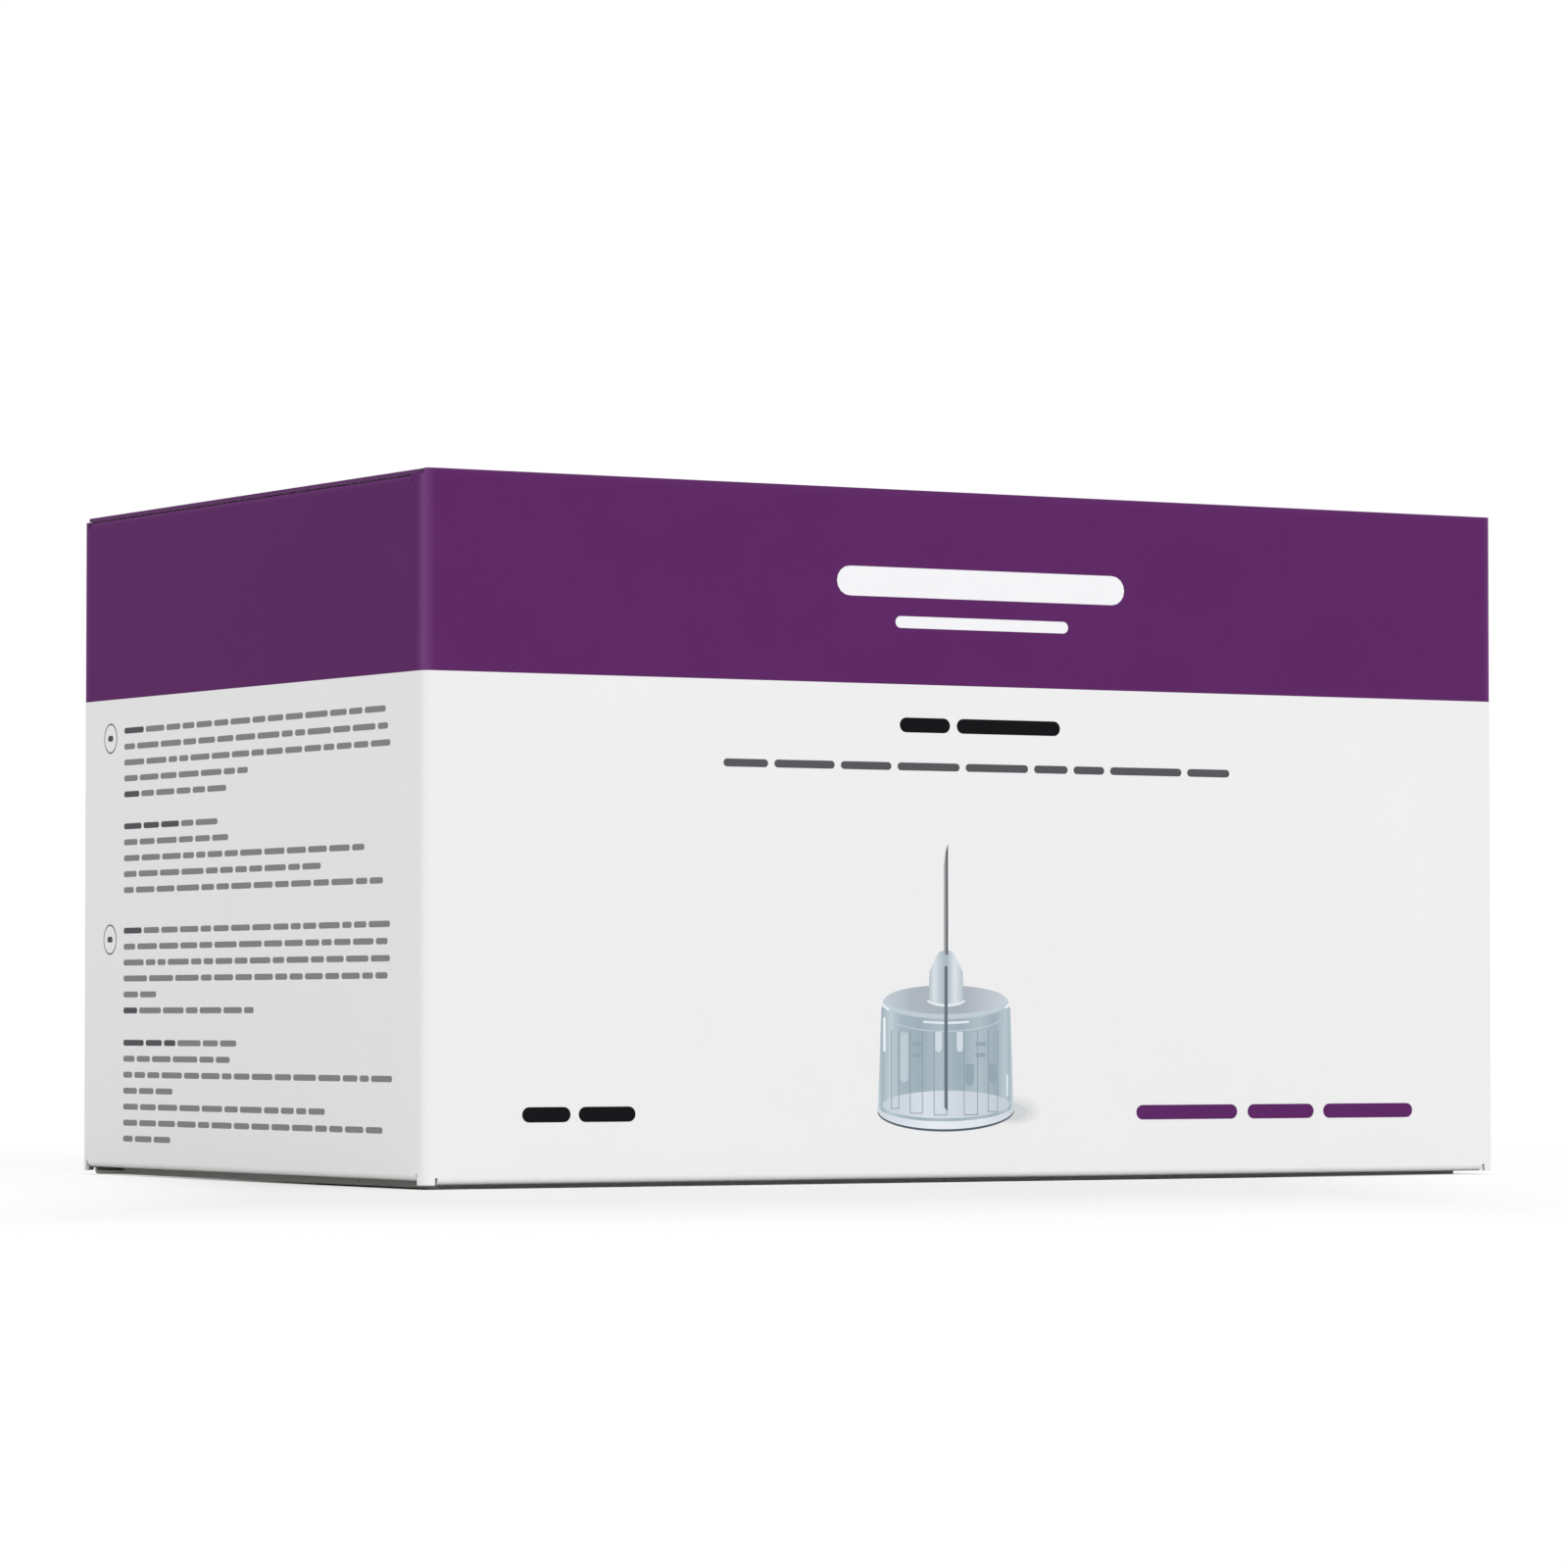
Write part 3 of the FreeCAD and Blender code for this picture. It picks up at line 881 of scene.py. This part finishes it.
def nozzle_and_needle():
    """Layers of the nozzle, the glint on its collar, and the needle's covered and bare lengths."""
    collar = ellipse(0, 13.35, 2.1, 0.5, 180, 360, 16)
    shoulder = 1.95
    shoulder_height = 16.35
    neck = ellipse(0, 17.75, 1.15, 0.7, 0, 180, 12)
    nozzle = neck + [(-shoulder, shoulder_height)] + collar + [(shoulder, shoulder_height)]
    covered = [(-0.22, 2.55), (0.17, 2.2), (0.17, 16.85), (-0.22, 16.85)]
    bare = [(-0.26, 18.0), (0.22, 18.0), (0.22, 29.2), (-0.05, 28.4), (-0.26, 27.0)]
    return [
        [(nozzle, "nozzle")],
        [(band(0, 13.5, 2.35, 0.75, 0.26, 190, 350), "glint")],
        [(covered, "core")],
        [(bare, "needle")],
    ]


def picture_layers():
    """The pictured needle from the back to the front: in each layer, outlines that don't overlap."""
    return cast_shade(picture_half) + hub_walls(picture_half) + hub_details() + nozzle_and_needle()


def needle_picture():
    """A simple picture of a pen needle: a clear ribbed hub, a nozzle and a bevelled needle."""
    inks = picture_inks()
    order = list(inks)
    shapes = []
    for layer, drawn in enumerate(picture_layers()):
        shapes += [(outline, order.index(ink), layer) for outline, ink in drawn]
    print_piece("front_needle_picture", on_picture, shapes, list(inks.values()))


def nested_rows_tree():
    """Stands a unit in columns, rows and layers, every second one turned over, like the real load."""
    tree = bpy.data.node_groups.new("nested_rows", "GeometryNodeTree")
    inputs = [
        ("Unit", "Geometry"), ("Columns", "Int"), ("Rows", "Int"), ("Layers", "Int"),
        ("First Place", "Vector"), ("Column Pitch", "Float"), ("Row Pitch", "Float"),
        ("Layer Pitch", "Float"), ("Flip Height", "Float"), ("Loose Turn", "Float"),
        ("Finish", "Material"),
    ]
    for name, kind in inputs:
        tree.interface.new_socket(name, in_out="INPUT", socket_type="NodeSocket" + kind)
    tree.interface.new_socket("Load", in_out="OUTPUT", socket_type="NodeSocketGeometry")
    n = Nodes(tree)
    given = n.add("NodeGroupInput").outputs
    result = n.add("NodeGroupOutput")
    per_layer = n.math("MULTIPLY", given["Columns"], given["Rows"])
    points = n.add("GeometryNodePoints")
    n.feed(points, {"Count": n.math("MULTIPLY", per_layer, given["Layers"])})
    index = n.add("GeometryNodeInputIndex").outputs[0]
    column = n.math("MODULO", index, given["Columns"])
    row = n.math("MODULO", n.math("FLOOR", n.math("DIVIDE", index, given["Columns"])), given["Rows"])
    layer = n.math("FLOOR", n.math("DIVIDE", index, per_layer))
    flipped = n.math("MODULO", n.math("ADD", column, layer), 2.0)
    lift = n.math("MULTIPLY", flipped, given["Flip Height"])
    step = n.add("ShaderNodeCombineXYZ")
    n.feed(step, {0: n.math("MULTIPLY", column, given["Column Pitch"])})
    n.feed(step, {1: n.math("MULTIPLY", row, given["Row Pitch"])})
    n.feed(step, {2: n.math("MULTIPLY_ADD", layer, given["Layer Pitch"], lift)})
    place = n.add("ShaderNodeVectorMath", operation="ADD")
    n.feed(place, {0: given["First Place"], 1: step.outputs[0]})
    moved = n.add("GeometryNodeSetPosition")
    n.feed(moved, {"Geometry": points.outputs[0], "Position": place.outputs[0]})
    loose = n.add("FunctionNodeRandomValue", data_type="FLOAT")
    back = n.math("MULTIPLY", given["Loose Turn"], -1.0)
    n.feed(loose, {"Min": back, "Max": given["Loose Turn"], "Seed": 7})
    # The first column is turned round, so that its tabs' tongues stay inside the carton
    first = n.math("LESS_THAN", column, 0.5)
    turn = n.add("ShaderNodeCombineXYZ")
    n.feed(turn, {0: n.math("MULTIPLY", flipped, math.pi)})
    n.feed(turn, {2: n.math("MULTIPLY_ADD", first, math.pi, random_float(loose))})
    stood = n.add("GeometryNodeInstanceOnPoints")
    n.feed(stood, {"Points": moved.outputs[0], "Instance": given["Unit"], "Rotation": turn.outputs[0]})
    real = n.add("GeometryNodeRealizeInstances")
    n.link(stood.outputs[0], real.inputs[0])
    finish = n.add("GeometryNodeSetMaterial")
    n.feed(finish, {"Geometry": real.outputs[0], "Material": given["Finish"]})
    n.link(finish.outputs[0], result.inputs[0])
    return tree


def random_float(node):
    """The float output of a Random Value node, which has one output for each kind of value."""
    return next(o for o in node.outputs if o.enabled)


def load_piece(name, unit_mesh, finish, first_place, loose_turn, nodes):
    """A whole load of one kind of unit, as a plain mesh that stands for the frame's rows."""
    source = add_piece(name + "_unit", unit_mesh, [finish])
    modifier = source.modifiers.new("rows", "NODES")
    modifier.node_group = nested_rows
    values = {
        "Columns": columns, "Rows": rows, "Layers": layers, "First Place": first_place,
        "Column Pitch": column_pitch, "Row Pitch": row_pitch, "Layer Pitch": layer_pitch,
        "Flip Height": flip_height, "Loose Turn": loose_turn, "Finish": finish,
    }
    for item in nested_rows.interface.items_tree:
        if item.in_out == "INPUT" and item.name in values:
            modifier[item.identifier] = values[item.name]
    depsgraph = bpy.context.evaluated_depsgraph_get()
    mesh = bpy.data.meshes.new_from_object(source.evaluated_get(depsgraph))
    bpy.data.objects.remove(source)
    mesh.name = name
    piece = add_piece(name, mesh, [])
    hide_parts(*nodes)
    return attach(piece, "carton")


def shield_profile():
    """Radius and height down the shield's outside, in millimetres, with the ribs' share at each."""
    return [
        (0.0, 0.0, 0), (7.2, 0.0, 0), (7.38, 0.18, 0), (7.38, 1.3, 0), (7.2, 1.5, 0), (6.4, 1.6, 0),
        (6.12, 2.1, 0), (6.08, 3.4, 0), (6.0, 4.2, 1), (5.0, 29.8, 1), (4.86, 31.2, 0), (4.6, 32.1, 0),
        (3.9, 32.75, 0), (3.2, 32.9, 0), (2.8, 32.5, 0), (0.0, 32.45, 0),
    ]


def shield_mesh():
    """One shield: a round tapered cup with a flange and grip ribs."""
    rib_turn = math.tau / shield_ribs
    one_rib = [
        (-rib_foot, 0), (-rib_crest, rib_height), (rib_crest, rib_height), (rib_foot, 0),
        (rib_turn / 2, 0),
    ]
    turns = []
    for rib in range(shield_ribs):
        turns += [(rib * rib_turn + angle, raised) for angle, raised in one_rib]
    around = len(turns)
    bm = bmesh.new()
    rings = []
    for radius, z, ribbed in shield_profile():
        if radius == 0:
            rings.append([bm.verts.new((0, 0, z * MM))])
            continue
        ring = []
        for angle, raised in turns:
            reach = radius * MM + raised * ribbed
            ring.append(bm.verts.new((reach * math.cos(angle), reach * math.sin(angle), z * MM)))
        rings.append(ring)
    for low, high in zip(rings, rings[1:]):
        for i in range(around):
            if len(low) == 1:
                corners = [low[0], high[i], high[i - 1]]
            elif len(high) == 1:
                corners = [low[i - 1], low[i], high[0]]
            else:
                corners = [low[i - 1], low[i], high[i], high[i - 1]]
            bm.faces.new(corners)
    bmesh.ops.recalc_face_normals(bm, faces=bm.faces)
    return mesh_from(bm, "shield_unit", 25)


def tab_mesh():
    """One peel tab: a disc over the flange with a round-ended tongue."""
    radius = flange_across / 2 - tab_inset
    tongue_end = -flange_across / 2 - tab_tongue
    outline = []
    for i in range(33):
        angle = -tab_shoulder + 2 * tab_shoulder * i / 32
        outline.append((radius * math.cos(angle), radius * math.sin(angle)))
    for i in range(9):
        angle = math.radians(90 + 180 * i / 8)
        x = tongue_end + tab_tongue_half * (1 + math.cos(angle))
        outline.append((x, tab_tongue_half * math.sin(angle)))
    bm = bmesh.new()
    own_place = bm.verts.layers.float_vector.new("tab_place")
    top = [bm.verts.new((x, y, 0)) for x, y in outline]
    under = [bm.verts.new((x, y, -tab_thickness)) for x, y in outline]
    bm.faces.new(top)
    bm.faces.new(under[::-1])
    for i in range(len(outline)):
        bm.faces.new((top[i - 1], under[i - 1], under[i], top[i]))
    for vert in bm.verts:
        vert[own_place] = vert.co
    bmesh.ops.recalc_face_normals(bm, faces=bm.faces)
    return mesh_from(bm, "tab_unit")


def load_pieces():
    """The two layers of capped needles."""
    names = ["layer_%d_row_%d" % (layer + 1, row + 1) for layer in range(layers) for row in range(rows)]
    corner = Vector((flange_across / 2, flange_across / 2, 0))
    first = first_row[0] + corner
    shields = ["shields_" + name for name in names]
    tabs = ["peel_tabs_" + name for name in names]
    load_piece("needle_shields", shield_mesh(), shield_plastic, first, 0, shields)
    load_piece("peel_tabs", tab_mesh(), tab_paper, first, tab_loose_turn, tabs)


def white_floor():
    """A white floor with the object's rendered shadow and a painted soft shade near it, plain white
    beside it, behind it and further out.
    """
    bpy.ops.mesh.primitive_plane_add(size=floor_size)
    floor = bpy.context.object
    floor.name = "floor"
    material, n, shader = new_material("floor_white")
    seen = n.add("ShaderNodeLightPath").outputs["Is Camera Ray"]
    place = n.place()
    split = n.add("ShaderNodeSeparateXYZ")
    n.link(place, split.inputs[0])
    out_x = n.math("SUBTRACT", n.math("ABSOLUTE", split.outputs[0]), half_width)
    out_y = n.math("SUBTRACT", n.math("ABSOLUTE", split.outputs[1]), half_depth)
    gap_x = n.math("MAXIMUM", out_x, 0)
    gap_y = n.math("MAXIMUM", out_y, 0)
    squares = n.math("ADD", n.math("MULTIPLY", gap_x, gap_x), n.math("MULTIPLY", gap_y, gap_y))
    away = n.smooth(n.math("SQRT", squares), shade_start, shade_end)
    along = n.add("ShaderNodeVectorMath", operation="DOT_PRODUCT")
    n.feed(along, {0: place, 1: (math.cos(camera_yaw), -math.sin(camera_yaw), 0)})
    sideways = n.smooth(n.math("ABSOLUTE", along.outputs["Value"]), shade_side, shade_side_end)
    behind = n.smooth(split.outputs[1], shade_behind, shade_behind_end)
    aside = n.math("MAXIMUM", sideways, behind)
    # Painted shade: seen from the camera, the floor stays grey near the carton and turns whiter away
    # from it
    white_share = n.math("MULTIPLY_ADD", n.math("MAXIMUM", away, aside), 1 - floor_grey, floor_grey)
    tone = n.mix(seen, (floor_grey, floor_grey, floor_grey, 1), n.grey(white_share))
    # Painted contact shadow: the floor under the carton's footprint is near black, for all rays
    beside = n.math("GREATER_THAN", n.math("MAXIMUM", out_x, out_y), 0)
    n.link(n.mix(beside, (floor_under_shadow, floor_under_shadow, floor_under_shadow, 1), tone), shader.inputs["Base Color"])
    shader.inputs["Roughness"].default_value = 0.9
    shader.inputs["Specular IOR Level"].default_value = 0.0
    plain = n.math("MAXIMUM", away, n.math("MULTIPLY", aside, side_plain))
    white = n.add("ShaderNodeEmission")
    both = n.add("ShaderNodeMixShader")
    n.feed(both, {0: n.math("MULTIPLY", seen, plain), 1: shader.outputs[0], 2: white.outputs[0]})
    n.link(both.outputs[0], material.node_tree.nodes["Material Output"].inputs["Surface"])
    floor.data.materials.append(material)


def white_world():
    """Plain light all round, behind a background that is seen as white."""
    world = bpy.data.worlds.new("studio")
    bpy.context.scene.world = world
    world.use_nodes = True
    n = Nodes(world.node_tree)
    ground = world.node_tree.nodes["Background"]
    path = n.add("ShaderNodeLightPath").outputs
    direct = n.math("MAXIMUM", path["Is Camera Ray"], path["Is Glossy Ray"])
    direct = n.math("MAXIMUM", direct, path["Is Transmission Ray"])
    n.link(n.math("MULTIPLY_ADD", direct, 1 - sky_level, sky_level), ground.inputs["Strength"])
    ground.inputs["Color"].default_value = (1, 1, 1, 1)


def key_light():
    """A wide soft light from the front and above."""
    data = bpy.data.lights.new("key_light", "SUN")
    data.energy = key_strength
    data.angle = math.radians(40)
    lamp = bpy.data.objects.new("key_light", data)
    bpy.context.scene.collection.objects.link(lamp)
    lamp.rotation_euler = Vector(key_direction).to_track_quat("Z", "Y").to_euler()


def add_camera():
    """The camera that took the photo."""
    data = bpy.data.cameras.new("photo_camera")
    data.sensor_width = sensor
    data.lens = sensor * focal_pixels / photo_pixels
    data.clip_start = 0.01
    camera = bpy.data.objects.new("photo_camera", data)
    bpy.context.scene.collection.objects.link(camera)
    camera.location = camera_place
    camera.rotation_euler = (math.pi / 2 + camera_pitch, 0, -camera_yaw)
    bpy.context.scene.camera = camera


bpy.context.scene.view_settings.view_transform = "Standard"
add_camera()
white_floor()
white_world()
key_light()

board_texture = board_texture_group()
raw_board = raw_board_group()
coated_field = flat_ink("coated_field", coated_white, 0.012, print_roughness)
# The band's purple turns paler along the folds: painted highlight and rub
band_ink = coated_board("band_ink", purple, purple_worn_highlight, 0.05, 0.56, ink_roughness)
board_inside = uncoated_board("board_inside", inside_white, 0.35)
cut_edge = uncoated_board("cut_edge", edge_white, 0.5)
# Cut edges in the ink's purple: painted shade that makes them read as a dark line
cut_edge_inked = uncoated_board("cut_edge_inked", edge_purple_shade, 0.5)
black_ink = flat_ink("black_ink", ink_black)
grey_ink = flat_ink("grey_ink", ink_grey)
note_ink = flat_ink("note_ink", note_grey)
white_ink = flat_ink("white_ink", ink_white, 0.01, print_roughness)
purple_ink = flat_ink("purple_ink", purple)
shield_plastic = shield_plastic_material()
tab_paper = tab_paper_material()
nested_rows = nested_rows_tree()

carton_piece()
lid_piece()
lid_crease_piece()
front_print()
left_print()
needle_picture()
load_pieces()
